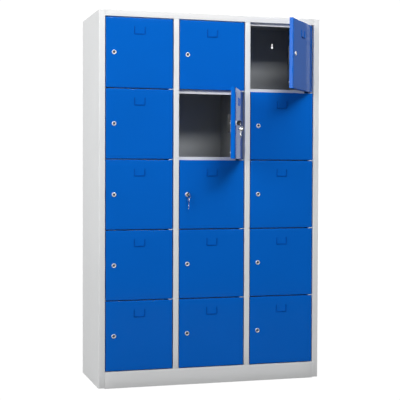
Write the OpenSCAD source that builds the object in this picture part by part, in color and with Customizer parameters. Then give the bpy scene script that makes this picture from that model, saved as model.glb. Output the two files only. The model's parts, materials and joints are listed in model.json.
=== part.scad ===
// Coin operated steel locker: three columns of five compartments. Each compartment has its own
// door on pin hinges, with a coin-return cylinder lock. Row 1 is the top row, column 1 the left.
// Origin: on the floor, under the centre of the carcass. +Z is up and the doors face -Y.

/* [Carcass] */
// Width over the side panels
body_w = 1150; // [1110:10:1200]
// Depth from the front frame to the back panel
body_d = 450; // [420:10:520]
// Height from the floor to the top panel
body_h = 1850; // [1800:10:1950]
// Number of columns of compartments
columns = 3; // [2:1:3]
// Number of rows of compartments
rows = 5; // [4:1:5]
// Thickness of the steel sheet
sheet = 1; // [0.8:0.1:1.2]
// Width of the outer stiles
outer_stile_w = 30; // [26:1:40]
// Width of the stiles between two columns
centre_stile_w = 28; // [26:1:40]
// Height of the header rail
header_h = 30; // [26:1:50]
// Height of the plinth
plinth_h = 82; // [60:1:100]
// Depth of the folded front frame
frame_depth = 22; // [21.5:0.5:25]
// Gap under the outer stiles at the floor
stile_lift = 3; // [2:0.5:5]
// Radius of the folded outer edges
edge_r = 2; // [1.5:0.5:3]

/* [Shelves] */
// Height of a shelf's front lip above the line between two rows
lip_up = 14; // [12:1:18]
// Drop of a shelf's front lip below that line
lip_down = 18; // [14:1:22]
// Depth of the folded return under the lip
lip_return = 12; // [8:1:16]
// Width of the cut-out that leaves room for the door's hinge side
hinge_notch_w = 42; // [41:1:50]
// Depth of that cut-out
hinge_notch_d = 8; // [8:1:12]

/* [Doors] */
// Depth of the folded door pan
door_t = 20; // [18:0.5:20]
// Radius of the door's front edges
door_r = 2; // [1:0.2:2]
// Width of the folded lip inside the door
door_lip = 12; // [10:1:13]
// Gap between two doors in a column
row_gap = 4.5; // [4.5:0.5:6]
// Gap above the top door and below the bottom door
end_gap = 3.5; // [2:0.5:5]
// Gap at the lock side
lock_gap = 3.6; // [3:0.2:5]
// Gap at the hinge side
hinge_gap = 4.4; // [4.2:0.2:6]
// How far the top right door stands open, in degrees
open_top_right = 51.6; // [0:0.2:110]
// How far the second door of the middle column stands open, in degrees
open_middle = 64.6; // [0:0.2:110]

/* [Hinges] */
// Hinge pin radius
pin_r = 3; // [2.5:0.5:3.5]
// Running clearance of a pin in its hole
pin_clearance = 0.08; // [0.05:0.01:0.1]
// Distance from the hinge pin to the door's edge
pin_inset = 14; // [12:1:14]
// Distance from the hinge pin to the door's front
pin_depth = 9.5; // [9:0.5:10]
// How far a pin reaches into a door
pin_reach = 8; // [6:1:12]
// Thickness of the hinge tabs
tab_t = 3; // [2:0.5:3]

/* [Label frame] */
// Width of the raised label frame
label_w = 58; // [50:1:70]
// Height of the raised label frame
label_h = 37; // [30:1:45]
// Distance from the door's top edge to the frame's bottom
label_drop = 82; // [70:1:100]
// How far the frame stands proud
label_proud = 2.2; // [1:0.2:2.4]
// Width of the frame's bead
label_bead = 5.5; // [2:0.5:5.5]

/* [Locks] */
// Distance from the door opening's edge to the lock's axis
lock_inset = 44; // [42:1:48]
// Radius of the lock's bezel
bezel_r = 11.5; // [11:0.5:15]
// How far the bezel stands proud of the door
bezel_h = 3.6; // [2:0.2:5]
// Radius of the lock's barrel
barrel_r = 9.5; // [9:0.5:10.5]
// Radius of the turning plug
plug_r = 6; // [5:0.5:6.5]
// Running clearance of the plug
plug_clearance = 0.06; // [0.03:0.01:0.1]
// Depth of the lock housing behind the door's skin
housing_d = 22; // [21.5:0.5:24]
// Depth of the coin box behind the door's skin
coin_box_d = 40; // [36:1:46]
// Height of the coin box
coin_box_h = 88; // [80:1:100]
// Width of the coin box
coin_box_w = 52; // [48:1:60]
// Length of the cam from the lock's axis
cam_l = 52; // [50:1:54]
// Width of the cam
cam_w = 16; // [14:1:18]

/* [Keys] */
// Radius of a key's bow
bow_r = 12.5; // [11:0.5:14]
// Thickness of a key's bow
bow_t = 2.4; // [2:0.2:3]
// Radius of the hole in a bow
bow_hole_r = 3; // [2.8:0.1:3.4]
// Length of a key's blade
blade_l = 32; // [26:1:34]
// Radius of the split ring
ring_r = 10; // [9:0.5:12]
// Radius of the split ring's wire
ring_wire_r = 0.8; // [0.6:0.1:1]

/* [Wall fixing] */
// Distance from the carcass centre to each wall keyhole
keyhole_x = 483; // [470:1:490]
// Height of the keyhole's round part above the floor
keyhole_z = 1752.8; // [1700:0.1:1760]
// Radius of the keyhole's round part
keyhole_r = 6; // [5:0.5:7]
// Width of the keyhole's slot
keyhole_slot_w = 5.5; // [4:0.5:6]
// Height of the keyhole's slot above the round part's centre
keyhole_slot_h = 18.5; // [14:0.5:22]

/* [Hidden] */
eps = 0.01;
through = 1;
carcass_colour = "gainsboro";
door_colour = "royalblue";
inside_colour = "dimgray";

// The keys are in the lock of row 2, column 2 and in the lock of row 3, column 2.
key_rows = [2, 3];
key_column = 2;

front_y = -body_d / 2;
back_y = body_d / 2;
half_w = body_w / 2;
frame_back_y = front_y + frame_depth;
skin_y = back_y - sheet;

open_w = (body_w - 2 * outer_stile_w - (columns - 1) * centre_stile_w) / columns;
column_pitch = open_w + centre_stile_w;
door_zone = body_h - header_h - plinth_h - 2 * end_gap;
door_h = (door_zone - (rows - 1) * row_gap) / rows;
row_pitch = door_h + row_gap;
door_left = lock_gap;
door_right = open_w - hinge_gap;
pin_x = door_right - pin_inset;
lock_z = door_h / 2;
floor_z = plinth_h + lip_up;

// Left edge of a column's opening, centre of a stile and heights of the rows
function open_x(c) = -half_w + outer_stile_w + (c - 1) * column_pitch;
function stile_x(c) = open_x(c) + open_w + centre_stile_w / 2;
function door_z(r) = body_h - header_h - end_gap - r * door_h - (r - 1) * row_gap;
function line_z(r) = door_z(r) - row_gap / 2;

// How far each door stands open
function open_angle(r, c) = r == 1 && c == 3 ? open_top_right : r == 2 && c == 2 ? open_middle : 0;

// Inner walls of a column, on its left and on its right
function wall_left(c) = c == 1 ? -half_w + sheet : stile_x(c - 1) + sheet / 2;
function wall_right(c) = c == columns ? half_w - sheet : stile_x(c) - sheet / 2;

function cell_name(what, r, c) = str(what, "_r", r, "c", c);
CELLS = [for (r = [1:rows]) for (c = [1:columns]) [r, c]];

// ---------------------------------------------------------------- folded sheet

function arc(x, y, r, from, to) =
    r == 0 ? [[x, y]] : [for (i = [0:4]) let (a = from + (to - from) * i / 4) [x + r * cos(a), y + r * sin(a)]];

// Outline of a folded piece seen from its end: rounded at the front, open at the back
function fold_outline(a0, a1, front, back, r0, r1) = concat(
    [[a0, back]],
    arc(a0 + r0, front + r0, r0, 180, 270),
    arc(a1 - r1, front + r1, r1, 270, 360),
    [[a1, back]]);

// Solid with rounded front edges. radii are those of the left, right, bottom and top edges.
module rounded_block(x, z, y, radii) {
    intersection() {
        translate([0, 0, z[0]]) linear_extrude(z[1] - z[0])
            polygon(fold_outline(x[0], x[1], y[0], y[1], radii[0], radii[1]));
        translate([x[0], 0, 0]) rotate([90, 0, 90]) linear_extrude(x[1] - x[0])
            polygon([for (p = fold_outline(z[0], z[1], y[0], y[1], radii[2], radii[3])) [p[1], p[0]]]);
    }
}

// Sheet folded back along all four edges, open at the back
module folded_pan(x, z, y, radii) {
    difference() {
        rounded_block(x, z, y, radii);
        rounded_block([x[0] + sheet, x[1] - sheet], [z[0] + sheet, z[1] - sheet],
            [y[0] + sheet, y[1] + through], [for (r = radii) max(0, r - sheet)]);
    }
}

// Box between two corners
module box(low, high) {
    translate(low) cube(high - low);
}

// Cylinder along the lock's axis, from y0 to y1
module lock_rod(r, y0, y1) {
    translate([0, y0, 0]) rotate([-90, 0, 0]) cylinder(r = r, h = y1 - y0, $fn = 48);
}

// ---------------------------------------------------------------- carcass

module side_panels() {
    color(carcass_colour) for (side = [0, 1]) mirror([side, 0, 0])
        box([-half_w, frame_back_y, 0], [-half_w + sheet, back_y, body_h]);
}

module partitions() {
    color(carcass_colour) for (c = [1:columns - 1]) translate([stile_x(c), 0, 0]) {
        box([-sheet / 2, frame_back_y, floor_z], [sheet / 2, skin_y, body_h - sheet]);
        box([-sheet / 2, front_y + sheet, floor_z], [sheet / 2, frame_back_y + eps, body_h - header_h - sheet]);
    }
}

// The top sheet, with a down-turned lip over each column behind the header rail. The lip is cut
// away at the hinge.
module top_panel() {
    color(carcass_colour) {
        box([-half_w + sheet, frame_back_y, body_h - sheet], [half_w - sheet, skin_y, body_h]);
        for (c = [1:columns]) let (edge = open_x(c) + open_w, low = body_h - header_h - lip_up) difference() {
            box([wall_left(c), frame_back_y, low], [wall_right(c), frame_back_y + sheet, body_h - sheet + eps]);
            box([edge - hinge_notch_w, frame_back_y - through, low - through],
                [edge + centre_stile_w / 2, frame_back_y + hinge_notch_d, body_h - header_h]);
        }
    }
}

// Sheet with a front lip and a folded return. The part at the hinge is cut away.
module lipped_sheet(x0, x1, z_line, z_top, notches) {
    z_low = z_line - lip_down;
    difference() {
        union() {
            box([x0, frame_back_y, z_top - sheet], [x1, skin_y, z_top]);
            box([x0, frame_back_y, z_low], [x1, frame_back_y + sheet, z_top]);
            box([x0, frame_back_y, z_low], [x1, frame_back_y + lip_return, z_low + sheet]);
        }
        for (edge = notches)
            box([edge - hinge_notch_w, frame_back_y - through, z_low - through],
                [edge + centre_stile_w / 2, frame_back_y + hinge_notch_d, z_top + through]);
    }
}

module floor_panel() {
    color(carcass_colour) lipped_sheet(-half_w + sheet, half_w - sheet, plinth_h, floor_z,
        [for (c = [1:columns]) open_x(c) + open_w - eps]);
}

module shelves() {
    color(carcass_colour) for (c = [1:columns]) for (r = [1:rows - 1])
        lipped_sheet(wall_left(c), wall_right(c), line_z(r), line_z(r) + lip_up, [open_x(c) + open_w]);
}

module back_panel() {
    color(carcass_colour) difference() {
        box([-half_w + sheet, skin_y, 0], [half_w - sheet, back_y, body_h]);
        for (side = [-1, 1]) translate([side * keyhole_x, skin_y - through, keyhole_z]) {
            rotate([-90, 0, 0]) cylinder(r = keyhole_r, h = sheet + 2 * through, $fn = 48);
            box([-keyhole_slot_w / 2, 0, 0], [keyhole_slot_w / 2, sheet + 2 * through, keyhole_slot_h]);
            translate([0, 0, keyhole_slot_h]) rotate([-90, 0, 0])
                cylinder(d = keyhole_slot_w, h = sheet + 2 * through, $fn = 48);
        }
    }
}

module front_stiles() {
    color(carcass_colour) {
        for (side = [0, 1]) mirror([side, 0, 0])
            folded_pan([-half_w, -half_w + outer_stile_w], [stile_lift, body_h], [front_y, frame_back_y],
                [edge_r, 0, 0, edge_r]);
        for (c = [1:columns - 1])
            folded_pan([stile_x(c) - centre_stile_w / 2, stile_x(c) + centre_stile_w / 2],
                [plinth_h, body_h - header_h], [front_y, frame_back_y], [0, 0, 0, 0]);
    }
}

module frame_rail(z, radii) {
    folded_pan([-half_w + outer_stile_w, half_w - outer_stile_w], z, [front_y, frame_back_y], radii);
}

// Clearance holes in a rail's flange, where the end pins of each column pass through
module rail_pin_holes(z) {
    for (c = [1:columns]) translate([open_x(c) + pin_x, front_y + pin_depth, z])
        cylinder(r = pin_r + 0.5, h = 4 * sheet, center = true, $fn = 48);
}

module header_rail() {
    color(carcass_colour) difference() {
        frame_rail([body_h - header_h, body_h], [0, 0, 0, edge_r]);
        rail_pin_holes(body_h - header_h);
    }
}

module plinth() {
    color(carcass_colour) difference() {
        frame_rail([0, plinth_h], [0, 0, 0, 0]);
        rail_pin_holes(plinth_h);
    }
}

// Flat steel ring that the carcass stands on
base_ring_w = 30;
base_ring_t = 3;
module base_frame() {
    color("darkgray") difference() {
        box([-half_w + sheet, frame_back_y, 0], [half_w - sheet, skin_y, base_ring_t]);
        box([-half_w + sheet + base_ring_w, frame_back_y + base_ring_w, -through],
            [half_w - sheet - base_ring_w, skin_y - base_ring_w, base_ring_t + through]);
    }
}

// Tabs that are welded to the hinge-side stile. Each carries the pins of the doors above and below.
tab_front = 1.6;
tab_back = 20;
tab_tip_r = 5.5;
module hinge_tab(z0, length) {
    x0 = pin_x - tab_tip_r;
    difference() {
        box([x0, tab_front, z0], [x0 + length, tab_back, z0 + tab_t]);
        translate([0, 0, z0]) difference() {
            box([x0 - eps, tab_front - eps, -through], [x0 + tab_tip_r, tab_front + tab_tip_r, tab_t + through]);
            translate([x0 + tab_tip_r, tab_front + tab_tip_r, -through])
                cylinder(r = tab_tip_r, h = tab_t + 3 * through, $fn = 48);
        }
    }
}

module hinge_pin(z0, z1) {
    translate([pin_x, pin_depth, z0]) cylinder(r = pin_r, h = z1 - z0, $fn = 48);
}

module hinge_pins() {
    tab_l = open_w - pin_x + tab_tip_r;
    end_tab_l = 2 * tab_tip_r + 4;
    top_z = body_h - header_h;
    color("silver") for (c = [1:columns]) translate([open_x(c), front_y, 0]) {
        for (r = [1:rows - 1]) {
            hinge_tab(line_z(r) - tab_t / 2, tab_l);
            hinge_pin(line_z(r) - row_gap / 2 - pin_reach, line_z(r) + row_gap / 2 + pin_reach);
        }
        hinge_tab(top_z + sheet, end_tab_l);
        hinge_pin(top_z - end_gap - pin_reach, top_z + sheet + tab_t);
        hinge_tab(plinth_h - sheet - tab_t, end_tab_l);
        hinge_pin(plinth_h - sheet - tab_t, plinth_h + end_gap + pin_reach);
    }
}

// ---------------------------------------------------------------- doors

// Places a piece drawn in a door's own frame: x from the opening's left edge, y inwards from the
// front, z up from the door's bottom edge. The door turns about its hinge pins.
module at_door(r, c) {
    translate([open_x(c) + pin_x, front_y + pin_depth, door_z(r)]) rotate([0, 0, open_angle(r, c)])
        translate([-pin_x, -pin_depth, 0]) children();
}

// Places a piece drawn about a lock's axis
module at_lock(r, c) {
    at_door(r, c) translate([lock_inset, 0, lock_z]) children();
}

// Raised bead that holds a name card, open at the top
module label_frame() {
    corner = 6;
    w = label_w / 2;
    translate([(door_left + door_right) / 2, eps, door_h - label_drop]) rotate([90, 0, 0])
        linear_extrude(label_proud + eps) difference() {
            union() {
                translate([-w, corner]) square([label_w, label_h - corner]);
                translate([-w + corner, 0]) square([label_w - 2 * corner, corner]);
                for (x = [-w + corner, w - corner]) translate([x, corner]) circle(r = corner, $fn = 48);
            }
            translate([-w + label_bead, corner])
                square([label_w - 2 * label_bead, label_h - corner + through]);
            translate([-w + corner, label_bead]) square([label_w - 2 * corner, corner]);
            for (x = [-w + corner, w - corner]) translate([x, corner])
                circle(r = corner - label_bead, $fn = 48);
        }
}

module door(r, c) {
    color(door_colour) at_door(r, c) difference() {
        union() {
            rounded_block([door_left, door_right], [0, door_h], [0, door_t],
                [door_r, door_r, door_r, door_r]);
            label_frame();
        }
        // The inside of the pan, up to the folded lip
        rounded_block([door_left + sheet, door_right - sheet], [sheet, door_h - sheet],
            [sheet, door_t - sheet], [for (i = [1:4]) door_r - sheet]);
        // The window inside the lip
        box([door_left + door_lip, door_t / 2, door_lip],
            [door_right - door_lip, door_t + through, door_h - door_lip]);
        // The holes for the hinge pins and for the lock's barrel
        for (z = [0, door_h]) translate([pin_x, pin_depth, z])
            cylinder(r = pin_r + pin_clearance, h = 6 * sheet, center = true, $fn = 48);
        translate([lock_inset, 0, lock_z]) lock_rod(barrel_r + 0.2, -through, 2 * sheet);
    }
}

// ---------------------------------------------------------------- locks

housing_left = 24;
housing_h = 60;
coin_box_x = 14;
cup_w = 36;
cup_h = 22;
cup_depth = 22;
cup_rim = 4;

// Lock barrel with its bezel outside the door, its housing inside, and the coin box beside them
module coin_lock(r, c) {
    box_back = sheet + coin_box_d;
    box_mid = coin_box_x + coin_box_w / 2;
    cup_z = -coin_box_h / 2 + cup_rim;
    color("darkslategray") at_lock(r, c) difference() {
        union() {
            rotate([90, 0, 0]) rotate_extrude($fn = 96) polygon([
                [plug_r, 0], [bezel_r, 0], [bezel_r, bezel_h * 0.3], [bezel_r - 2.2, bezel_h],
                [plug_r + 2, bezel_h], [plug_r, bezel_h - 1.4]]);
            lock_rod(barrel_r, -eps, sheet + eps);
            box([-housing_left, sheet, -housing_h / 2], [coin_box_x + eps, sheet + housing_d, housing_h / 2]);
            box([coin_box_x, sheet, -coin_box_h / 2], [coin_box_x + coin_box_w, box_back, coin_box_h / 2]);
        }
        // The bore that the plug turns in
        lock_rod(plug_r + plug_clearance, -bezel_h - through, sheet + housing_d + through);
        // The coin slot and the cup that the coin drops back into
        box([box_mid - 1.4, box_back - 26, 2], [box_mid + 1.4, box_back + through, coin_box_h / 2 - 8]);
        box([box_mid - cup_w / 2, box_back - cup_depth, cup_z],
            [box_mid + cup_w / 2, box_back - 2, cup_z + cup_h]);
        box([box_mid - cup_w / 2, box_back - cup_depth, cup_z + cup_rim],
            [box_mid + cup_w / 2, box_back + through, cup_z + cup_h]);
    }
}

keyway_w = 2.2;
keyway_h = 8;
keyway_d = 19;
plug_face = 1.6;
cam_t = 2;
cam_gap = 0.5;

// Plug that the key turns, with the cam on its tail. The cam points down while the lock is open.
module lock_plug(r, c) {
    cam_y = sheet + housing_d + cam_gap;
    color("darkgray") at_lock(r, c) difference() {
        union() {
            lock_rod(plug_r, -plug_face, cam_y + eps);
            lock_rod(cam_w / 2, cam_y, cam_y + cam_t);
            box([-cam_w / 2, cam_y, -cam_l + cam_w / 2], [cam_w / 2, cam_y + cam_t, 0]);
            translate([0, 0, -cam_l + cam_w / 2]) lock_rod(cam_w / 2, cam_y, cam_y + cam_t);
            translate([0, cam_y + cam_t - eps, 0]) rotate([-90, 0, 0]) cylinder(r = 5, h = 3, $fn = 6);
        }
        box([-keyway_w / 2, -plug_face - through, -keyway_h / 2],
            [keyway_w / 2, -plug_face + keyway_d, keyway_h / 2]);
    }
}

// ---------------------------------------------------------------- keys

bow_front = bezel_h + 0.6;
hole_from_centre = 7;
ring_hang_y = -bow_front - bow_r - hole_from_centre;
blade_w = 7.4;
blade_t = 1.8;

// A key seen flat: bow in the middle of the origin, blade pointing to +X, hole on the -X side
module key_outline(length) {
    difference() {
        union() {
            circle(r = bow_r, $fn = 64);
            translate([0, -blade_w / 2]) square([bow_r + length, blade_w]);
        }
        translate([-hole_from_centre, 0]) circle(r = bow_hole_r, $fn = 48);
        for (i = [0:3]) translate([bow_r + length * (0.3 + 0.17 * i), -blade_w / 2])
            rotate(45) square(1.6 + 0.5 * (i % 2), center = true);
    }
}

// The key in the lock. Its blade is thinner than its bow, so that it slides into the keyway.
module key(r) {
    reach = keyway_d - plug_face - 1 + bow_front;
    color("black") at_lock(r, key_column) translate([0, -bow_front - bow_r, 0]) intersection() {
        rotate([0, -90, 0]) rotate(90) linear_extrude(bow_t, center = true) key_outline(reach);
        union() {
            box([-bow_t, -2 * bow_r, -bow_r - 1], [bow_t, bow_r, bow_r + 1]);
            box([-blade_t / 2, 0, -bow_r], [blade_t / 2, bow_r + reach + 1, bow_r]);
        }
    }
}

spare_drop = 2 * ring_r + bow_hole_r - ring_wire_r - 0.6;

// Split ring through the key's bow, with a spare key hanging on it
module spare_keys(r) {
    color("silver") at_lock(r, key_column) translate([0, ring_hang_y, 0]) {
        translate([0, 0, -ring_r]) rotate([90, 0, 0])
            rotate_extrude($fn = 96) translate([ring_r, 0]) circle(r = ring_wire_r, $fn = 24);
        translate([0, 0, -spare_drop]) rotate([90, 0, 90]) rotate(-90)
            translate([hole_from_centre, 0]) linear_extrude(bow_t, center = true) key_outline(blade_l);
    }
}

// ---------------------------------------------------------------- nodes

side_panels();
partitions();
top_panel();
floor_panel();
back_panel();
shelves();
front_stiles();
header_rail();
plinth();
base_frame();
hinge_pins();
for (cell = CELLS) {
    r = cell[0];
    c = cell[1];
    door(r, c);
    coin_lock(r, c);
    lock_plug(r, c);
}
for (r = key_rows) {
    key(r);
    spare_keys(r);
}
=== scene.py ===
import json
import math

import bmesh
import bpy
from mathutils import Matrix, Vector, noise


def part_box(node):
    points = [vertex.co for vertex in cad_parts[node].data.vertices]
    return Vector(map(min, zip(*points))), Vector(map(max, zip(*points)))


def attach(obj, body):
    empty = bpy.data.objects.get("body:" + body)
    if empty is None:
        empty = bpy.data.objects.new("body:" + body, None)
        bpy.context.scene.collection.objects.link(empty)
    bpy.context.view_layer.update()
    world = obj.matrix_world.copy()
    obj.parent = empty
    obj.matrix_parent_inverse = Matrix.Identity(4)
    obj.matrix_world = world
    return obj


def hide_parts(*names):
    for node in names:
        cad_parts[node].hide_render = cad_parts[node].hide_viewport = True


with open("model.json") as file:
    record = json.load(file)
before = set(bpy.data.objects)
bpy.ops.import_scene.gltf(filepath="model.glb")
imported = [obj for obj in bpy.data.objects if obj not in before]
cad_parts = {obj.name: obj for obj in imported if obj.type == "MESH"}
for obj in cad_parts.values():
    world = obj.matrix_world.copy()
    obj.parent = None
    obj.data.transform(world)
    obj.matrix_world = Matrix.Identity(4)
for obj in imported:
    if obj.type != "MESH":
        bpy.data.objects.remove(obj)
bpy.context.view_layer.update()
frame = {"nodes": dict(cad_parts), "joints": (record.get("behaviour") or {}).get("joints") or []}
scene = bpy.context.scene
nodes = frame["nodes"]
joints = {j["name"]: j for j in frame["joints"]}

MM = 0.001
CELLS = [(r, c) for r in range(1, 6) for c in range(1, 4)]
KEY_CELLS = [(2, 2), (3, 2)]


def cell(what, r, c):
    return f"{what}_r{r}c{c}"


# ---------------------------------------------------------------- where things are, from the frame

SIDE_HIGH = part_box("side_panels")[1]
STILE_LOW, STILE_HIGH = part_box("front_stiles")
FRONT_Y = STILE_LOW.y
FRAME_BACK_Y = STILE_HIGH.y
BACK_Y = SIDE_HIGH.y
HALF_W = SIDE_HIGH.x
HEIGHT = SIDE_HIGH.z


# ---------------------------------------------------------------- camera

LENS = 94.21
CLIP_END = 60
camera_data = bpy.data.cameras.new("camera")
camera_data.sensor_width = 36
camera_data.lens = LENS
camera_data.clip_end = CLIP_END
camera = bpy.data.objects.new("camera", camera_data)
scene.collection.objects.link(camera)
scene.camera = camera

# Where it stands, in metres, and how it turns, in radians. A yaw of 0 looks along +Y.
CAMERA_AT = Vector((-1.5458, -5.2432, 1.0597))
CAMERA_YAW = 0.2873
CAMERA_PITCH = -0.0261
CAMERA_ROLL = 0.0032
ahead = Vector((math.sin(CAMERA_YAW) * math.cos(CAMERA_PITCH),
                math.cos(CAMERA_YAW) * math.cos(CAMERA_PITCH), math.sin(CAMERA_PITCH)))
level_right = Vector((math.cos(CAMERA_YAW), -math.sin(CAMERA_YAW), 0))
level_up = level_right.cross(ahead)
right = level_right * math.cos(CAMERA_ROLL) + level_up * math.sin(CAMERA_ROLL)
up = level_up * math.cos(CAMERA_ROLL) - level_right * math.sin(CAMERA_ROLL)
camera.matrix_world = Matrix.Translation(CAMERA_AT) @ Matrix((right, up, -ahead)).transposed().to_4x4()


# ---------------------------------------------------------------- light

scene.view_settings.view_transform = "Standard"


def mix_by_ray(tree, as_light, seen):
    """Mixes two shaders: one for what the camera sees directly, the other for all other light."""
    path = tree.nodes.new("ShaderNodeLightPath")
    mix = tree.nodes.new("ShaderNodeMixShader")
    tree.links.new(path.outputs["Is Camera Ray"], mix.inputs[0])
    tree.links.new(as_light, mix.inputs[1])
    tree.links.new(seen, mix.inputs[2])
    return mix.outputs[0]


world = bpy.data.worlds.new("studio")
scene.world = world
world.use_nodes = True
tree = world.node_tree
tree.nodes.clear()
# Seen directly the world is plain white. As light it is a room, darker on the camera's side (-Y).
WHITE_BACKDROP = 1.05
ROOM_COLOUR = (0.96, 0.98, 1, 1)
FRONT_ROOM = 0.09
BACK_ROOM = 0.36
FADE_START = -0.75
FADE_END = 0.35
direction = tree.nodes.new("ShaderNodeTexCoord")
split = tree.nodes.new("ShaderNodeSeparateXYZ")
fade = tree.nodes.new("ShaderNodeMapRange")
fade.interpolation_type = "SMOOTHSTEP"
fade.inputs["From Min"].default_value = FADE_START
fade.inputs["From Max"].default_value = FADE_END
fade.inputs["To Min"].default_value = FRONT_ROOM
fade.inputs["To Max"].default_value = BACK_ROOM
seen = tree.nodes.new("ShaderNodeBackground")
seen.inputs["Color"].default_value = (1, 1, 1, 1)
seen.inputs["Strength"].default_value = WHITE_BACKDROP
room = tree.nodes.new("ShaderNodeBackground")
room.inputs["Color"].default_value = ROOM_COLOUR
out = tree.nodes.new("ShaderNodeOutputWorld")
tree.links.new(direction.outputs["Generated"], split.inputs[0])
tree.links.new(split.outputs["Y"], fade.inputs["Value"])
tree.links.new(fade.outputs["Result"], room.inputs["Strength"])
tree.links.new(mix_by_ray(tree, room.outputs[0], seen.outputs[0]), out.inputs["Surface"])


def area_light(name, at, towards, size, power):
    data = bpy.data.lights.new(name, "AREA")
    data.shape = "RECTANGLE"
    data.size, data.size_y = size
    data.energy = power
    lamp = bpy.data.objects.new(name, data)
    lamp.location = at
    lamp.rotation_euler = (Vector(towards) - Vector(at)).to_track_quat("-Z", "Y").to_euler()
    scene.collection.objects.link(lamp)


# name, where it is, what it faces, width and height in metres, power in watts
LIGHTS = [
    ("key", (0.1, -3.3, 2.95), (0, -0.2, 1.2), (1.2, 0.5), 52),
    ("key_right", (1.1, -3.3, 2.95), (0, -0.2, 1.2), (1.0, 0.5), 5),
    ("key_left", (-1.0, -3.3, 2.95), (0, -0.2, 1.2), (1.0, 0.5), 6),
    ("top_front", (0.4, -3.5, 4.5), (0, -0.2, 1.4), (3.2, 1.6), 62),
    ("left_front", (-4.6, -3.6, 2.8), (0, -0.2, 1.2), (2.5, 2.5), 104),
    ("left_side", (-5.2, 0.2, 2.6), (0, 0, 1.2), (3.0, 2.6), 142),
    ("back_fill", (2.4, 4.8, 2.9), (0.2, 0.2, 0.9), (3.0, 2.4), 150),
]
for lamp_name, at, towards, size, power in LIGHTS:
    area_light(lamp_name, at, towards, size, power)


# ---------------------------------------------------------------- materials

def material(name):
    """A new material, its node tree and its shader."""
    m = bpy.data.materials.new(name)
    m.use_nodes = True
    return m, m.node_tree, m.node_tree.nodes["Principled BSDF"]


def object_noise(tree, scale, detail=2.0):
    """Noise that lies still on its object. scale is in features per metre."""
    coords = tree.nodes.new("ShaderNodeTexCoord")
    texture = tree.nodes.new("ShaderNodeTexNoise")
    texture.inputs["Scale"].default_value = scale
    texture.inputs["Detail"].default_value = detail
    tree.links.new(coords.outputs["Object"], texture.inputs["Vector"])
    return texture.outputs["Fac"]


def ramp(tree, value, low, high):
    """Turns a noise value, which mostly lies from 0.3 to 0.7, into a number from low to high."""
    node = tree.nodes.new("ShaderNodeMapRange")
    node.inputs["From Min"].default_value = 0.3
    node.inputs["From Max"].default_value = 0.7
    node.inputs["To Min"].default_value = low
    node.inputs["To Max"].default_value = high
    tree.links.new(value, node.inputs["Value"])
    return node.outputs["Result"]


def colour_mix(tree, value, low, high):
    """Goes from one colour to another as a noise value rises."""
    node = tree.nodes.new("ShaderNodeMix")
    node.data_type = "RGBA"
    node.inputs[6].default_value = (*low, 1)
    node.inputs[7].default_value = (*high, 1)
    tree.links.new(ramp(tree, value, 0, 1), node.inputs[0])
    return node.outputs[2]


def bump(tree, height, strength, distance, below=None):
    """A bumped normal, on top of the one given as below. distance is in metres."""
    node = tree.nodes.new("ShaderNodeBump")
    node.inputs["Strength"].default_value = strength
    node.inputs["Distance"].default_value = distance
    tree.links.new(height, node.inputs["Height"])
    if below is not None:
        tree.links.new(below, node.inputs["Normal"])
    return node.outputs["Normal"]


def shade(colour, factor):
    return tuple(min(1, v * factor) for v in colour)


def powder_coat(name, colour, rough, specular, peel=0.25, wave=0.12, vary=0.03):
    """Baked powder paint: an orange peel of a few millimetres, over sheet that is never quite flat."""
    m, tree, shader = material(name)
    broad = object_noise(tree, 3.5)
    tree.links.new(colour_mix(tree, broad, shade(colour, 1 - vary), shade(colour, 1 + vary)),
                   shader.inputs["Base Color"])
    rubbed = ramp(tree, object_noise(tree, 25), rough * 0.9, rough * 1.12)
    tree.links.new(rubbed, shader.inputs["Roughness"])
    shader.inputs["Specular IOR Level"].default_value = specular
    sheet_wave = bump(tree, object_noise(tree, 5, 1), wave, 0.004)
    orange_peel = bump(tree, object_noise(tree, 480, 1), peel, 0.0002, sheet_wave)
    tree.links.new(bump(tree, object_noise(tree, 2400, 0), peel * 0.4, 0.00005, orange_peel),
                   shader.inputs["Normal"])
    return m


def plated(name, colour, rough, grain=900, strength=0.1):
    """Plated metal with faint handling marks."""
    m, tree, shader = material(name)
    shader.inputs["Metallic"].default_value = 1
    fine = object_noise(tree, grain, 3)
    tree.links.new(colour_mix(tree, fine, shade(colour, 0.93), shade(colour, 1.04)),
                   shader.inputs["Base Color"])
    tree.links.new(ramp(tree, object_noise(tree, 160, 3), rough * 0.75, rough * 1.35),
                   shader.inputs["Roughness"])
    tree.links.new(bump(tree, fine, strength, 0.0001), shader.inputs["Normal"])
    return m


def moulded(name, colour, rough):
    """Moulded plastic with a fine spark-eroded texture."""
    m, tree, shader = material(name)
    fine = object_noise(tree, 2200, 2)
    tree.links.new(colour_mix(tree, object_noise(tree, 40), shade(colour, 0.92), shade(colour, 1.08)),
                   shader.inputs["Base Color"])
    tree.links.new(ramp(tree, fine, rough * 0.9, rough * 1.1), shader.inputs["Roughness"])
    tree.links.new(bump(tree, fine, 0.2, 0.0001), shader.inputs["Normal"])
    return m


GREY = (0.77, 0.775, 0.775)
BLUE = (0.0014, 0.121, 0.555)
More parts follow.
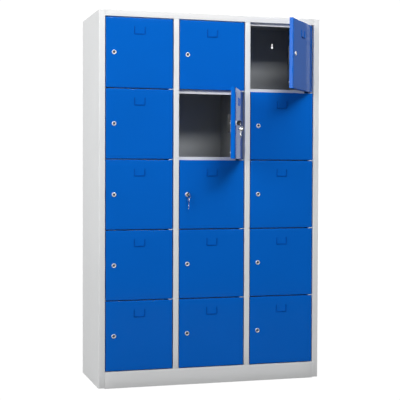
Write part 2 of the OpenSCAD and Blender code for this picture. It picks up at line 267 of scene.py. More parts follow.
# The inside faces take a grey about half as light as the outside's: partly a darker inside coat, partly
# painted shade for the dim depths of the compartments.
SHADED_GREY = (0.40, 0.415, 0.42)
carcass_paint = powder_coat("carcass_powder_coat", GREY, 0.42, 0.35, vary=0.012)
inside_coat_and_painted_shade = powder_coat("inside_powder_coat_and_painted_shade", SHADED_GREY, 0.34, 0.5, vary=0.06)
door_paint = powder_coat("door_powder_coat", BLUE, 0.06, 0.14, peel=0.05, wave=0.03, vary=0.02)
satin_chrome = plated("satin_chrome", (0.96, 0.96, 0.97), 0.52)
zinc = plated("zinc_plate", (0.62, 0.63, 0.65), 0.32)
nickel = plated("key_nickel", (0.66, 0.65, 0.62), 0.24, strength=0.2)
black_plastic = moulded("black_plastic", (0.012, 0.012, 0.013), 0.45)
bow_plastic = moulded("key_bow_plastic", (0.014, 0.014, 0.016), 0.38)
# The label's lips are the door's blue a little darker and nearly without gloss: painted shade for the
# holder's dark outline.
label_lips_painted_shade = powder_coat("label_lips_painted_shade_coat", shade(BLUE, 0.95), 0.5, 0.03, peel=0.05)
# The label's slit is the door's blue darkened: painted shade for the deep, shadowed groove.
slit_painted_shade = powder_coat("label_slit_painted_shade", shade(BLUE, 0.76), 0.5, 0.03)
# The plug's near-black brown metal is painted shade for the dark, sunk centre of the lock.
plug_painted_shade = plated("plug_painted_shade", (0.13, 0.11, 0.10), 0.4)
nylon = moulded("white_nylon", (0.82, 0.83, 0.84), 0.4)


def paint_node(name, *materials, choose=None):
    """Gives a CAD node its materials. choose(centre) says which of them a face takes."""
    mesh = nodes[name].data
    mesh.materials.clear()
    for m in materials:
        mesh.materials.append(m)
    for face in mesh.polygons:
        face.material_index = choose(face.center) if choose else 0


SKIN = 0.5 * MM


def inside(centre):
    """1 for a face inside the compartments, behind the front frame, and 0 for one outside."""
    between_sides = abs(centre.x) < HALF_W - SKIN
    front_to_back = FRAME_BACK_Y + SKIN < centre.y < BACK_Y - SKIN
    return 1 if between_sides and front_to_back and centre.z < HEIGHT - SKIN else 0


# Faces inside the compartments take the darker grey, which is partly painted shade.
for name in ("side_panels", "partitions", "top_panel", "floor_panel", "back_panel", "shelves"):
    paint_node(name, carcass_paint, inside_coat_and_painted_shade, choose=inside)
paint_node("hinge_pins", carcass_paint)
paint_node("base_frame", zinc)


# ---------------------------------------------------------------- mesh helpers

def link_piece(name, shape, materials, body, replaced=(), sharp=38, matrix=None):
    """Makes a piece from a bmesh: smooth up to the sharp angle, in its materials, riding on its body."""
    bmesh.ops.recalc_face_normals(shape, faces=shape.faces)
    mesh = bpy.data.meshes.new(name)
    shape.to_mesh(mesh)
    shape.free()
    link_mesh(name, mesh, materials, body, replaced, sharp, matrix)


def link_mesh(name, mesh, materials, body, replaced=(), sharp=38, matrix=None):
    """Makes a piece from a mesh, whose faces keep the material indices they already have."""
    if matrix is not None:
        mesh.transform(matrix)
    for m in materials:
        mesh.materials.append(m)
    mesh.shade_smooth()
    mesh.set_sharp_from_angle(angle=math.radians(sharp))
    piece = bpy.data.objects.new(name, mesh)
    scene.collection.objects.link(piece)
    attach(piece, body)
    if replaced:
        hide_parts(*replaced)


def bridge(shape, one, other):
    """Quads between two closed rings of the same number of vertices."""
    n = len(one)
    for i in range(n):
        shape.faces.new((one[i], one[(i + 1) % n], other[(i + 1) % n], other[i]))


def lathe(shape, profile, at=(0, 0, 0), steps=48):
    """Turns (radius, y) points about the Y axis through at. A radius of 0 closes the end."""
    rings = []
    for radius, y in profile:
        if radius == 0:
            rings.append([shape.verts.new((at[0], at[1] + y, at[2]))])
            continue
        angles = [2 * math.pi * i / steps for i in range(steps)]
        turned = [(at[0] + radius * math.cos(a), at[1] + y, at[2] + radius * math.sin(a)) for a in angles]
        rings.append([shape.verts.new(co) for co in turned])
    for one, other in zip(rings, rings[1:]):
        if len(one) > 1 and len(other) > 1:
            bridge(shape, one, other)
            continue
        tip, ring = (one[0], other) if len(one) == 1 else (other[0], one)
        for i in range(steps):
            shape.faces.new((tip, ring[i], ring[(i + 1) % steps]))


def slab(shape, outline, y0, y1):
    """Solid between y0 and y1 with an outline of (x, z) points."""
    front = [shape.verts.new((x, y0, z)) for x, z in outline]
    back = [shape.verts.new((x, y1, z)) for x, z in outline]
    shape.faces.new(front)
    shape.faces.new(list(reversed(back)))
    bridge(shape, front, back)


def sweep(shape, path, section):
    """Carries a closed section of (across, up) points along a path of (point, across, up) frames."""
    rings = [[shape.verts.new(p + across * a + up * b) for a, b in section] for p, across, up in path]
    for one, other in zip(rings, rings[1:]):
        bridge(shape, one, other)
    shape.faces.new(list(reversed(rings[0])))
    shape.faces.new(rings[-1])


def box_outline(x0, x1, z0, z1, corner=0.0, steps=4):
    """Outline of a rectangle with rounded corners."""
    if corner == 0:
        return [(x0, z0), (x1, z0), (x1, z1), (x0, z1)]
    centres = [(x1 - corner, z0 + corner, -90), (x1 - corner, z1 - corner, 0),
               (x0 + corner, z1 - corner, 90), (x0 + corner, z0 + corner, 180)]
    return [(cx + corner * math.cos(math.radians(start + 90 * i / steps)),
             cz + corner * math.sin(math.radians(start + 90 * i / steps)))
            for cx, cz, start in centres for i in range(steps + 1)]


def baked(shape, modifiers):
    """The mesh that a bmesh becomes once its modifiers, [(kind, settings), ...], are applied."""
    bmesh.ops.recalc_face_normals(shape, faces=shape.faces)
    mesh = bpy.data.meshes.new("work")
    shape.to_mesh(mesh)
    shape.free()
    work = bpy.data.objects.new("work", mesh)
    scene.collection.objects.link(work)
    for kind, settings in modifiers:
        modifier = work.modifiers.new(kind.lower(), kind)
        for key, value in settings.items():
            setattr(modifier, key, value)
    graph = bpy.context.evaluated_depsgraph_get()
    result = bpy.data.meshes.new_from_object(work.evaluated_get(graph))
    bpy.data.objects.remove(work)
    return result


def cutter(shape):
    """An object for a Boolean modifier to cut with; the caller removes it once the cut is made."""
    bmesh.ops.recalc_face_normals(shape, faces=shape.faces)
    mesh = bpy.data.meshes.new("cutter")
    shape.to_mesh(mesh)
    shape.free()
    work = bpy.data.objects.new("cutter", mesh)
    scene.collection.objects.link(work)
    return work


def rounded(width, segments):
    """A Bevel modifier for baked(). width is in millimetres."""
    return ("BEVEL", {"limit_method": "ANGLE", "angle_limit": math.radians(40), "harden_normals": False,
                      "width": width * MM, "segments": segments})


def cut_away(cut):
    """A Boolean modifier for baked() that takes a cutter's shape out."""
    return ("BOOLEAN", {"object": cut, "operation": "DIFFERENCE", "solver": "EXACT"})


def in_mm(points):
    """Points given in millimetres, in metres."""
    return [tuple(v * MM for v in p) for p in points]


# ---------------------------------------------------------------- folded sheet pans

SHEET = 1 * MM
SMALLEST_R = 0.1 * MM


def edge_inset(radius, depth):
    """How far a folded edge of this radius is rounded away at a depth."""
    return radius - math.sqrt(max(0, radius ** 2 - (radius - depth) ** 2)) if depth < radius else 0


def pan_ring(shape, low, high, y, insets, cells):
    """Vertices round a rectangle from (x, z) low to high, pulled in by (left, right, bottom, top)."""
    x0, x1 = low[0] + insets[0], high[0] - insets[1]
    z0, z1 = low[1] + insets[2], high[1] - insets[3]
    nx, nz = cells
    points = [(x0 + (x1 - x0) * i / nx, z0) for i in range(nx)]
    points += [(x1, z0 + (z1 - z0) * i / nz) for i in range(nz)]
    points += [(x1 - (x1 - x0) * i / nx, z1) for i in range(nx)]
    points += [(x0, z1 - (z1 - z0) * i / nz) for i in range(nz)]
    return [shape.verts.new((x, y, z)) for x, z in points]


def pan_face(shape, ring, cells, wave=None):
    """Fills a ring with a grid. wave(s, t) gives how far the sheet bulges, s and t from 0 to 1."""
    nx, nz = cells
    grid = {}
    for i in range(nx):
        grid[i, 0], grid[nx - i, nz] = ring[i], ring[nx + nz + i]
    for j in range(nz):
        grid[nx, j], grid[0, nz - j] = ring[nx + j], ring[2 * nx + nz + j]
    low, high = grid[0, 0].co, grid[nx, nz].co
    for i in range(1, nx):
        for j in range(1, nz):
            s, t = i / nx, j / nz
            bulge = wave(s, t) if wave else 0
            grid[i, j] = shape.verts.new((low.x + (high.x - low.x) * s, low.y + bulge,
                                          low.z + (high.z - low.z) * t))
    for i in range(nx):
        for j in range(nz):
            shape.faces.new((grid[i, j], grid[i + 1, j], grid[i + 1, j + 1], grid[i, j + 1]))


LIP_FOLD = 1.6 * MM


def lip_rings(lip, back):
    """(insets, y) round a lip of this width that is turned in at the back: outside, edge and inside."""
    turns = [math.radians(22.5 * k) for k in range(5)]
    small = LIP_FOLD - SHEET
    rings = [([LIP_FOLD * (1 - math.cos(a))] * 4, back - LIP_FOLD * (1 - math.sin(a))) for a in turns]
    rings.append(([lip] * 4, back))
    rings.append(([lip + SHEET * 0.25] * 4, back - SHEET / 2))
    rings.append(([lip] * 4, back - SHEET))
    for a in reversed(turns):
        rings.append(([SHEET + small * (1 - math.cos(a))] * 4, back - LIP_FOLD + small * math.sin(a)))
    return rings


def folded_pan(shape, low, high, front, depth, radii, lip=0.0, cells=(1, 1), wave=None):
    """Sheet folded back along its four edges (left, right, bottom, top), whose outer fold radii are
    given, with a lip of this width turned in at the back. cells is the grid the flat sheet is cut into."""
    arc = [1 - math.cos(math.radians(15 * k)) for k in range(7)]
    big = max(radii)
    back = front + depth
    rings = [([edge_inset(r, big * a) for r in radii], front + big * a) for a in arc]
    rings += lip_rings(lip, back) if lip else [([0] * 4, back), ([SHEET] * 4, back)]
    inner = [max(r - SHEET, SMALLEST_R) for r in radii]
    small = max(inner)
    for a in reversed(arc):
        rings.append(([SHEET + edge_inset(r, small * a) for r in inner], front + SHEET + small * a))
    loops = [pan_ring(shape, low, high, y, insets, cells) for insets, y in rings]
    for one, other in zip(loops, loops[1:]):
        bridge(shape, one, other)
    pan_face(shape, loops[0], cells, wave)
    pan_face(shape, loops[-1], cells, wave)


# ---------------------------------------------------------------- front frame

CARCASS = "carcass"
HEADER_LOW, HEADER_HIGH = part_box("header_rail")
PLINTH_LOW, PLINTH_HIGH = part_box("plinth")
DOOR_LOW, DOOR_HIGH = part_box("door_r1c1")
FRAME_DEPTH = FRAME_BACK_Y - FRONT_Y
FOLD_R = 2 * MM
SEAM_R = 0.25 * MM
STRIPS = 24

# The left and right edge of each column's opening, from a row whose doors are all closed.
CLOSED_ROW = 4
LOCK_SIDE_GAP = 3.6 * MM
HINGE_SIDE_GAP = 4.4 * MM
door_edges = []
for c in (1, 2, 3):
    low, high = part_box(cell("door", CLOSED_ROW, c))
    door_edges.append((low.x - LOCK_SIDE_GAP, high.x + HINGE_SIDE_GAP))


def frame_member(shape, low, high, radii, cells):
    """One channel of the front frame between two (x, z) corners."""
    folded_pan(shape, low, high, FRONT_Y, FRAME_DEPTH, radii, cells=cells)


shape = bmesh.new()
outer_radii = (FOLD_R, FOLD_R, SEAM_R, FOLD_R)
for x0, x1 in ((-HALF_W, HEADER_LOW.x), (-HEADER_LOW.x, HALF_W)):
    frame_member(shape, (x0, STILE_LOW.z), (x1, STILE_HIGH.z), outer_radii, (1, STRIPS))
centre_radii = (FOLD_R, FOLD_R, SEAM_R, SEAM_R)
for left, right in zip(door_edges, door_edges[1:]):
    frame_member(shape, (left[1], PLINTH_HIGH.z), (right[0], HEADER_LOW.z), centre_radii, (1, STRIPS))
link_piece("frame_stiles", shape, [carcass_paint], CARCASS, ["front_stiles"])

shape = bmesh.new()
header_radii = (SEAM_R, SEAM_R, FOLD_R, FOLD_R)
frame_member(shape, HEADER_LOW.xz, HEADER_HIGH.xz, header_radii, (STRIPS, 1))
link_piece("frame_header", shape, [carcass_paint], CARCASS, ["header_rail"])

shape = bmesh.new()
plinth_radii = (SEAM_R, SEAM_R, SEAM_R, FOLD_R)
frame_member(shape, PLINTH_LOW.xz, PLINTH_HIGH.xz, plinth_radii, (STRIPS, 2))
link_piece("frame_plinth", shape, [carcass_paint], CARCASS, ["plinth"])


# ---------------------------------------------------------------- spot welds on the back

# radius and height in millimetres
WELD_PROFILE = [(0, 0.35), (1.2, 0.3), (2.2, 0.12), (2.7, 0.0), (3.0, -0.2), (0, -0.2)]
WELD_EDGE = 12 * MM
WELD_STEP = 115 * MM


def weld_row(shape, start, end):
    """Low round marks along a line on the back panel, from one (x, z) to another."""
    start, end = Vector(start), Vector(end)
    count = round((end - start).length / WELD_STEP)
    for i in range(count + 1):
        x, z = start.lerp(end, i / count)
        lathe(shape, in_mm(WELD_PROFILE), (x, BACK_Y, z), 16)


shape = bmesh.new()
partition_x = [(left[1] + right[0]) / 2 for left, right in zip(door_edges, door_edges[1:])]
weld_x = [-HALF_W + WELD_EDGE, *partition_x, HALF_W - WELD_EDGE]
for x in weld_x:
    weld_row(shape, (x, WELD_EDGE), (x, HEIGHT - WELD_EDGE))
for z in (WELD_EDGE, HEIGHT - WELD_EDGE):
    for x0, x1 in zip(weld_x, weld_x[1:]):
        weld_row(shape, (x0 + WELD_STEP, z), (x1 - WELD_STEP, z))
link_piece("back_welds", shape, [carcass_paint], CARCASS)


# ---------------------------------------------------------------- doors

DOOR_W = DOOR_HIGH.x - DOOR_LOW.x
DOOR_H = DOOR_HIGH.z - DOOR_LOW.z
DOOR_T = DOOR_HIGH.y - FRONT_Y
PIN_AT = Vector(joints["door_r1c1_hinge"]["pos_m"])
PIN_X = PIN_AT.x - DOOR_LOW.x
PIN_Y = PIN_AT.y - FRONT_Y
LOCK_AT = Vector(joints["lock_r1c1_turn"]["pos_m"])
LOCK_X = LOCK_AT.x - DOOR_LOW.x
LOCK_Z = LOCK_AT.z - DOOR_LOW.z
DOOR_R = 2.6 * MM
DOOR_LIP = 12 * MM
DOOR_CELLS = (14, 14)
# how uneven a door's sheet is, how many waves it has, and how far apart the doors lie in the noise
BULGE = 0.3 * MM
WAVES = 2.2
ROW_STEP = 7.3
COLUMN_STEP = 4.1
LABEL_W = 58 * MM
LABEL_H = 37 * MM
LABEL_Z = DOOR_H - 82 * MM
LABEL_CORNER = 6 * MM
LABEL_TIP_DEGREES = (30, 55, 75)
BEAD_W = 5.5 * MM
BEAD_H = 2.2 * MM
SLIT_W = 3.0 * MM
# The door's own paint, then the painted shade of the label's lips and, darker, of its slit.
DOOR_PAINT_AND_SHADES = [door_paint, label_lips_painted_shade, slit_painted_shade]
ON_LABEL = DOOR_PAINT_AND_SHADES.index(label_lips_painted_shade)
IN_SLIT = DOOR_PAINT_AND_SHADES.index(slit_painted_shade)


def opened(r, c):
    """How far a door stands open in the frame, in radians."""
    return -math.radians(joints[cell("door", r, c) + "_hinge"]["range_deg"][0])


def door_matrix(r, c):
    """Takes a door's own frame (x from its lock edge, y from its front, z from its bottom) to the row."""
    pin = Vector(joints[cell("door", r, c) + "_hinge"]["pos_m"])
    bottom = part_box(cell("door", r, c))[0].z
    return (Matrix.Translation((pin.x, pin.y, bottom)) @ Matrix.Rotation(opened(r, c), 4, "Z")
            @ Matrix.Translation((-PIN_X, -PIN_Y, 0)))


def lock_matrix(r, c):
    """Takes a frame on the lock's axis, at the door's front, to the row."""
    return door_matrix(r, c) @ Matrix.Translation((LOCK_X, 0, LOCK_Z))


def label_path():
    """The label frame's run as (point, across, up): down one side, along the bottom, up the other."""
    half = LABEL_W / 2 - BEAD_W / 2
    corner = LABEL_CORNER - BEAD_W / 2
    top, bottom = LABEL_H, BEAD_W / 2
    # x and z from the middle of the holder's bottom, and the heading of the bead's outer side in degrees
    points = [(-half, top - i * (top - bottom - corner) / 6, 180) for i in range(6)]
    for k in range(7):
        a = math.radians(15 * k)
        points.append((-half + corner - corner * math.cos(a), bottom + corner - corner * math.sin(a),
                       180 + math.degrees(a)))
    points += [(-x, z, 540 - heading) for x, z, heading in reversed(points)]
    path = []
    for x, z, heading in points:
        turn = math.radians(heading)
        across = Vector((math.cos(turn), 0, math.sin(turn)))
        path.append((Vector((DOOR_W / 2 + x, 0, LABEL_Z + z)), across, Vector((0, -1, 0))))
    return label_tip(*path[0])[::-1] + path + label_tip(*path[-1])


def label_tip(point, across, up):
    """The steps in which an end of the label frame narrows and comes down to the door."""
    steps = []
    for a in (math.radians(degrees) for degrees in LABEL_TIP_DEGREES):
        rise = Vector((0, 0, BEAD_W / 2 * math.sin(a)))
        steps.append((point + rise, across * (0.4 + 0.6 * math.cos(a)), up * math.cos(a)))
    return steps


def label_frame(shape):
    """U-shaped holder for a name card on the door's front: two raised lips with a slit between, the lips
    in a painted shade a little darker than the door and the slit in a deeper painted shade.
    """
    path = label_path()
    edge, slit = BEAD_W / 2, SLIT_W / 2
    lip = [(edge, 0), (edge - 0.25 * MM, 0.55 * BEAD_H), (edge - 0.6 * MM, 0.9 * BEAD_H),
           (slit + 0.45 * MM, BEAD_H), (slit + 0.1 * MM, 0.85 * BEAD_H), (slit, 0.6 * BEAD_H)]
    floor_of_slit = [(slit, 0.05 * BEAD_H), (-slit, 0.05 * BEAD_H)]
    underside = [(-edge, -SHEET / 2), (edge, -SHEET / 2)]
    other_lip = [(-x, y) for x, y in reversed(lip)]
    section = underside + lip + floor_of_slit + other_lip
    count = len(shape.faces)
    sweep(shape, path, section)
    shape.faces.ensure_lookup_table()
    sides = len(section)
    swept = (len(path) - 1) * sides
    first_dark = len(underside) + len(lip) - 1
    # The slit's faces take the deeper painted shade, the rest of the label frame the lighter one.
    for i, face in enumerate(shape.faces[count:]):
        in_slit = i < swept and first_dark <= i % sides < first_dark + 3
        face.material_index = IN_SLIT if in_slit else ON_LABEL


def door_wave(r, c):
    """The gentle unevenness of a door's sheet, different on every door."""

    def wave(s, t):
        away_from_folds = math.sin(math.pi * s) * math.sin(math.pi * t)
        uneven = noise.noise(Vector((s * WAVES + ROW_STEP * r, t * WAVES + COLUMN_STEP * c, 0.5)))
        return BULGE * away_from_folds * (0.35 + 1.6 * uneven)

    return wave


for r, c in CELLS:
    shape = bmesh.new()
    folded_pan(shape, (0, 0), (DOOR_W, DOOR_H), 0, DOOR_T, [DOOR_R] * 4, lip=DOOR_LIP, cells=DOOR_CELLS,
               wave=door_wave(r, c))
    label_frame(shape)
    door = cell("door", r, c)
    link_piece(cell("door_pan", r, c), shape, DOOR_PAINT_AND_SHADES, door, [door], sharp=50,
               matrix=door_matrix(r, c))


# ---------------------------------------------------------------- door trim

BUFFER_X = 8 * MM
LOWER_Z = 29 * MM
UPPER_Z = DOOR_H / 2 + 8 * MM
# radius and height in millimetres; the cam swings past the upper buffer, so that one is flatter
TALL_BUFFER = [(0, 4.4), (1.8, 4.3), (3.2, 3.9), (4.0, 3.1), (4.3, 2.0), (4.5, 0), (4.5, -0.3), (0, -0.3)]
FLAT_BUFFER = [(0, 1.75), (1.8, 1.7), (3.2, 1.45), (4.1, 0.9), (4.3, 0.3), (4.3, -0.3), (0, -0.3)]
for r, c in CELLS:
    shape = bmesh.new()
    for z, profile in ((LOWER_Z, TALL_BUFFER), (UPPER_Z, FLAT_BUFFER)):
        lathe(shape, in_mm(profile), (BUFFER_X, DOOR_T, z), 24)
    link_piece(cell("buffers", r, c), shape, [nylon], cell("door", r, c), sharp=50,
               matrix=door_matrix(r, c))


# ---------------------------------------------------------------- locks

# In millimetres, about the lock's axis and back from the door's front.
BEZEL_R = 11.5
BEZEL_H = 3.6
BEZEL_STEPS = 56
BARREL_R = 9.5
PLUG_R = 6.0
BORE_R = PLUG_R + 0.06
DOOR_SHEET = SHEET / MM
CASE_BACK = DOOR_SHEET + 22.0
COIN_BACK = DOOR_SHEET + 40.0
CAM_FRONT = CASE_BACK + 0.5
CAM_T = 2
CAM_R = 8
CAM_LENGTH = 44
SLOT_X = 40
# x from and to, then z from and to
HOUSING = (-24, 14.01, -30, 30)
COIN_BOX = (14, 66, -44, 44)
COIN_SLOT = (SLOT_X - 1.4, SLOT_X + 1.4, 2, 36)
COIN_SLOT_DEEP = 26
RETURN_CUP = (SLOT_X - 18, SLOT_X + 18, -36, -18)
RETURN_CUP_DEEP = 22
SLOT_PLATE = (SLOT_X - 7, SLOT_X + 7, -3.5, 41.5)
SLOT_PLATE_HOLE = (SLOT_X - 1.7, SLOT_X + 1.7, 1.5, 36.5)
PLATE_SCREWS_Z = (-1.0, 39.2)
KEYWAY = (-1.1, 1.1, -4, 4)
KEYWAY_DEEP = 17.4


def bezel_mesh():
    """Turned bezel: a flat flange, a rounded shoulder, a polished land and a bevel down to the plug."""
    shape = bmesh.new()
    profile = [(BORE_R, 0.5), (BORE_R, -1.9), (PLUG_R + 0.3, -2.3), (PLUG_R + 1.7, -3.35),
               (PLUG_R + 2.0, -3.55), (PLUG_R + 2.4, -BEZEL_H), (9.0, -BEZEL_H), (9.6, -3.52),
               (10.1, -3.28), (10.5, -2.9), (11.0, -2.1), (11.25, -1.5), (11.42, -1.05), (BEZEL_R, -0.7),
               (BEZEL_R, 0.0), (BARREL_R, 0.0), (BARREL_R, 0.5)]
    lathe(shape, in_mm(profile), steps=BEZEL_STEPS)
    verts = list(shape.verts)
    bridge(shape, verts[-BEZEL_STEPS:], verts[:BEZEL_STEPS])
    return baked(shape, [])


def case_mesh():
    """Moulded lock housing with the coin box beside it, its coin slot and its return cup."""
    shape = bmesh.new()
    slab(shape, in_mm(box_outline(*HOUSING, corner=2)), SHEET, CASE_BACK * MM)
    slab(shape, in_mm(box_outline(*COIN_BOX, corner=3)), SHEET, COIN_BACK * MM)
    cuts = bmesh.new()
    coin_slot = box_outline(*COIN_SLOT, corner=1.2, steps=3)
    return_cup = box_outline(*RETURN_CUP, corner=3)
    for outline, deep in ((coin_slot, COIN_SLOT_DEEP), (return_cup, RETURN_CUP_DEEP)):
        slab(cuts, in_mm(outline), (COIN_BACK - deep) * MM, (COIN_BACK + 2) * MM)
    cut = cutter(cuts)
    mesh = baked(shape, [cut_away(cut), rounded(0.8, 3)])
    bpy.data.objects.remove(cut)
    return mesh


def slot_plate_mesh():
    """Pressed plate round the coin slot with its two screws."""
    shape = bmesh.new()
    back = COIN_BACK * MM
    middle_x, middle_z = SLOT_X * MM, (SLOT_PLATE[2] + SLOT_PLATE[3]) / 2 * MM
    outline = in_mm(box_outline(*SLOT_PLATE, corner=3, steps=5))
    hole = in_mm(box_outline(*SLOT_PLATE_HOLE, corner=1.5, steps=5))
    loops = []
    for y, shrink in ((-0.2 * MM, 0), (0.5 * MM, 0), (0.8 * MM, 0.3 * MM)):
        loops.append([shape.verts.new((x - math.copysign(shrink, x - middle_x), back + y,
                                       z - math.copysign(shrink, z - middle_z))) for x, z in outline])
    for y in (0.8 * MM, 0.5 * MM, -0.2 * MM):
        loops.append([shape.verts.new((x, back + y, z)) for x, z in hole])
    for one, other in zip(loops, loops[1:] + loops[:1]):
        bridge(shape, one, other)
    screw = [(0, 1.75), (1.0, 1.7), (1.7, 1.4), (2.0, 1.0), (2.0, 0.7), (0, 0.7)]
    for z in PLATE_SCREWS_Z:
        lathe(shape, in_mm(screw), (middle_x, back, z * MM), 20)
    return baked(shape, [])


def plug_mesh():
    """Turning plug with its keyway."""
    shape = bmesh.new()
    profile = [(0, -1.35), (4.6, -1.35), (4.9, -1.6), (5.7, -1.6), (PLUG_R, -1.3), (PLUG_R, CAM_FRONT),
               (0, CAM_FRONT)]
    lathe(shape, in_mm(profile), steps=40)
    keyway = bmesh.new()
    slab(keyway, in_mm(box_outline(*KEYWAY, corner=0.4, steps=3)), -4 * MM, KEYWAY_DEEP * MM)
    cut = cutter(keyway)
    mesh = baked(shape, [cut_away(cut)])
    bpy.data.objects.remove(cut)
    return mesh


def circle(radius, angles, z=0.0):
    """(x, z) points on a circle about the lock's axis, or about a point above or below it."""
    return [(radius * math.cos(a), z + radius * math.sin(a)) for a in angles]


def cam_mesh():
    """Flat cam hanging from the plug's tail, with its washer and nut."""
    shape = bmesh.new()
    outline = circle(CAM_R, [math.pi * k / 12 for k in range(13)])
    outline += circle(CAM_R, [math.pi * (1 + k / 12) for k in range(13)], -CAM_LENGTH)
    nut = circle(5, [math.pi * k / 3 for k in range(6)])
    washer = circle(5.6, [math.pi * k / 16 for k in range(32)])
    for points, start, end in ((outline, 0, CAM_T), (nut, 2.3, 5), (washer, 1.9, 2.6)):
        slab(shape, in_mm(points), (CAM_FRONT + start) * MM, (CAM_FRONT + end) * MM)
    return baked(shape, [rounded(0.3, 2)])


# each part's mesh, finish and slot
masters = {
    "bezel": (bezel_mesh(), satin_chrome, "lock_chrome"),
    "lock_case": (case_mesh(), black_plastic, "lock_housing"),
    "slot_plate": (slot_plate_mesh(), zinc, "zinc"),
    "plug": (plug_mesh(), plug_painted_shade, "lock_chrome"),
    "cam": (cam_mesh(), zinc, "lock_chrome"),
}
# the CAD node that a part stands for
STANDS_FOR = {"lock_case": "coin_lock", "plug": "lock_plug"}
for r, c in CELLS:
    for part, (mesh, finish, slot) in masters.items():
        body = cell("lock_plug" if part in ("plug", "cam") else "door", r, c)
        replaced = [cell(STANDS_FOR[part], r, c)] if part in STANDS_FOR else ()
        link_mesh(cell(part, r, c), mesh.copy(), [finish], body, replaced, sharp=40,
                  matrix=lock_matrix(r, c))


# ---------------------------------------------------------------- keys

# In millimetres.
BOW_R = 12.5
BOW_GAP = 0.6
BOW_STEPS = 48
HOLE_R = 3.0
HOLE_FROM_CENTRE = 7.0
BLADE_W = 7.4
BLADE_T = 1.8
RING_R = 10.0
RING_TURNS = 2
RING_STEPS = 56
RING_START = 0.9
WIRE_R = 0.42
# from the middle of the ring's lowest wire up to the edge of the spare key's hole
RING_PLAY = 1.4
IN_LOCK_BLADE = 20.6
SPARE_BLADE = 32
BOW_Y = -(BEZEL_H + BOW_GAP + BOW_R)
HANG_Y = BOW_Y - HOLE_FROM_CENTRE
SPARE_DROP = 2 * RING_R + HOLE_R - RING_PLAY


def bow_mesh():
    """Key bow lying in the XZ plane, about the origin, with its hole towards -X."""
    shape = bmesh.new()
    # how far in from the bow's edge, or out from the hole's, and y
    edge = [(1.1, -1.2), (0.5, -1.08), (0.12, -0.75), (0, -0.35), (0, 0.35), (0.12, 0.75), (0.5, 1.08),
            (1.1, 1.2)]
    hole = [(2.0, 1.2), (1.7, 0.9), (0.45, 0.9), (0, 0.6), (0, -0.6), (0.45, -0.9), (1.7, -0.9),
            (2.0, -1.2)]
    rings = [(0, BOW_R - inset, y) for inset, y in edge]
    rings += [(-HOLE_FROM_CENTRE, HOLE_R + extra, y) for extra, y in hole]
    angles = [2 * math.pi * i / BOW_STEPS for i in range(BOW_STEPS)]
    loops = []
    for x, radius, y in rings:
        points = [(x + radius * math.cos(a), y, radius * math.sin(a)) for a in angles]
        loops.append([shape.verts.new(co) for co in in_mm(points)])
    for one, other in zip(loops, loops[1:] + loops[:1]):
        bridge(shape, one, other)
    return baked(shape, [])


def blade_mesh(length, cuts):
    """Key blade in the XZ plane, starting inside the bow and pointing to +X, with cuts of these depths."""
    shape = bmesh.new()
    start, tip, half = BOW_R - 1.2, BOW_R + length, BLADE_W / 2
    lower = [(start, -half)]
    for i, depth in enumerate(cuts):
        x = BOW_R + length * (0.3 + 0.11 * i)
        lower += [(x - 1.2, -half), (x, -half + depth), (x + 0.5, -half + depth), (x + 1.6, -half)]
    point = [(tip - 3.2, -half), (tip, -half + 2.8), (tip, half - 2.2), (tip - 2.4, half)]
    outline = lower + point + [(start, half)]
    slab(shape, in_mm(outline), -BLADE_T / 2 * MM, BLADE_T / 2 * MM)
    return baked(shape, [rounded(0.25, 2)])


def ring_mesh():
    """Split ring of two flat turns, hanging from the origin in the XZ plane."""
    shape = bmesh.new()
    path = []
    count = RING_TURNS * RING_STEPS
    for i in range(count + 1):
        a = 2 * math.pi * i / RING_STEPS + RING_START
        # the wire crosses from one side to the other in the middle sixth of its length
        crossed = min(1, max(0, (i / count - 0.42) / 0.16))
        side = WIRE_R * (1 - 2 * crossed)
        out = Vector((math.sin(a), 0, math.cos(a)))
        at = (out * RING_R + Vector((0, side, -RING_R))) * MM
        path.append((at, out * MM, Vector((0, MM, 0))))
    angles = [2 * math.pi * k / 10 for k in range(10)]
    section = [(WIRE_R * 1.5 * math.cos(a), WIRE_R * math.sin(a)) for a in angles]
    sweep(shape, path, section)
    return baked(shape, [])


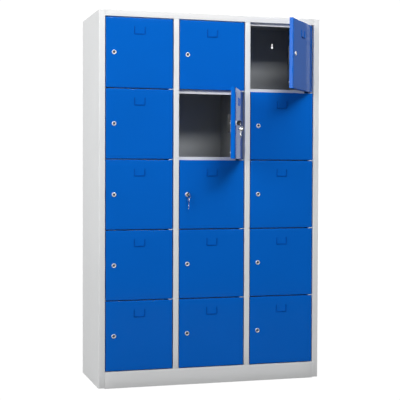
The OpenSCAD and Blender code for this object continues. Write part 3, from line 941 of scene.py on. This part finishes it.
LOCK_CUTS = (1.5, 0.9, 1.8, 1.2, 0.7)
SPARE_CUTS = (0.8, 1.7, 1.1, 1.5, 1.0)
bow = bow_mesh()
ring = ring_mesh()
upright = Matrix.Rotation(math.radians(90), 4, "Z")
downwards = Matrix.Rotation(math.radians(90), 4, "Y")
drop = Matrix.Translation((0, 0, -(SPARE_DROP + HOLE_FROM_CENTRE) * MM))
for r, c in KEY_CELLS:
    place = lock_matrix(r, c)
    in_lock = place @ Matrix.Translation((0, BOW_Y * MM, 0)) @ upright
    hang = place @ Matrix.Translation((0, HANG_Y * MM, 0))
    hanging = hang @ drop @ upright @ downwards
    turning = cell("lock_plug", r, c)
    swinging = cell("spare_keys", r, c)
    # piece, mesh, finish, body, replaced nodes, sharp angle, where it goes
    for part, mesh, finish, body, replaced, sharp, matrix in (
        ("key_bow", bow.copy(), bow_plastic, turning, [cell("key", r, c)], 50, in_lock),
        ("key_blade", blade_mesh(IN_LOCK_BLADE, LOCK_CUTS), nickel, turning, (), 40, in_lock),
        ("split_ring", ring.copy(), nickel, swinging, [swinging], 60, hang),
        ("spare_bow", bow.copy(), nickel, swinging, (), 50, hanging),
        ("spare_blade", blade_mesh(SPARE_BLADE, SPARE_CUTS), nickel, swinging, (), 40, hanging),
    ):
        link_mesh(cell(part, r, c), mesh, [finish], body, replaced, sharp, matrix)


# ---------------------------------------------------------------- floor

# Seen directly the floor is as white as the world behind it. As light it is grey.
FLOOR_SIZE = 14
FLOOR_GREY = (0.20, 0.20, 0.20, 1)
FLOOR_GLOW = 1.03
floor_mesh = bpy.data.meshes.new("floor")
shape = bmesh.new()
bmesh.ops.create_grid(shape, x_segments=1, y_segments=1, size=FLOOR_SIZE / 2)
shape.to_mesh(floor_mesh)
shape.free()
floor = bpy.data.objects.new("floor", floor_mesh)
scene.collection.objects.link(floor)
floor_paint, tree, shader = material("floor_paint")
shader.inputs["Base Color"].default_value = FLOOR_GREY
shader.inputs["Roughness"].default_value = 0.9
shader.inputs["Specular IOR Level"].default_value = 0.1
glow = tree.nodes.new("ShaderNodeEmission")
glow.inputs["Strength"].default_value = FLOOR_GLOW
floor_mix = mix_by_ray(tree, shader.outputs[0], glow.outputs[0])
tree.links.new(floor_mix, tree.nodes["Material Output"].inputs["Surface"])
floor_mesh.materials.append(floor_paint)
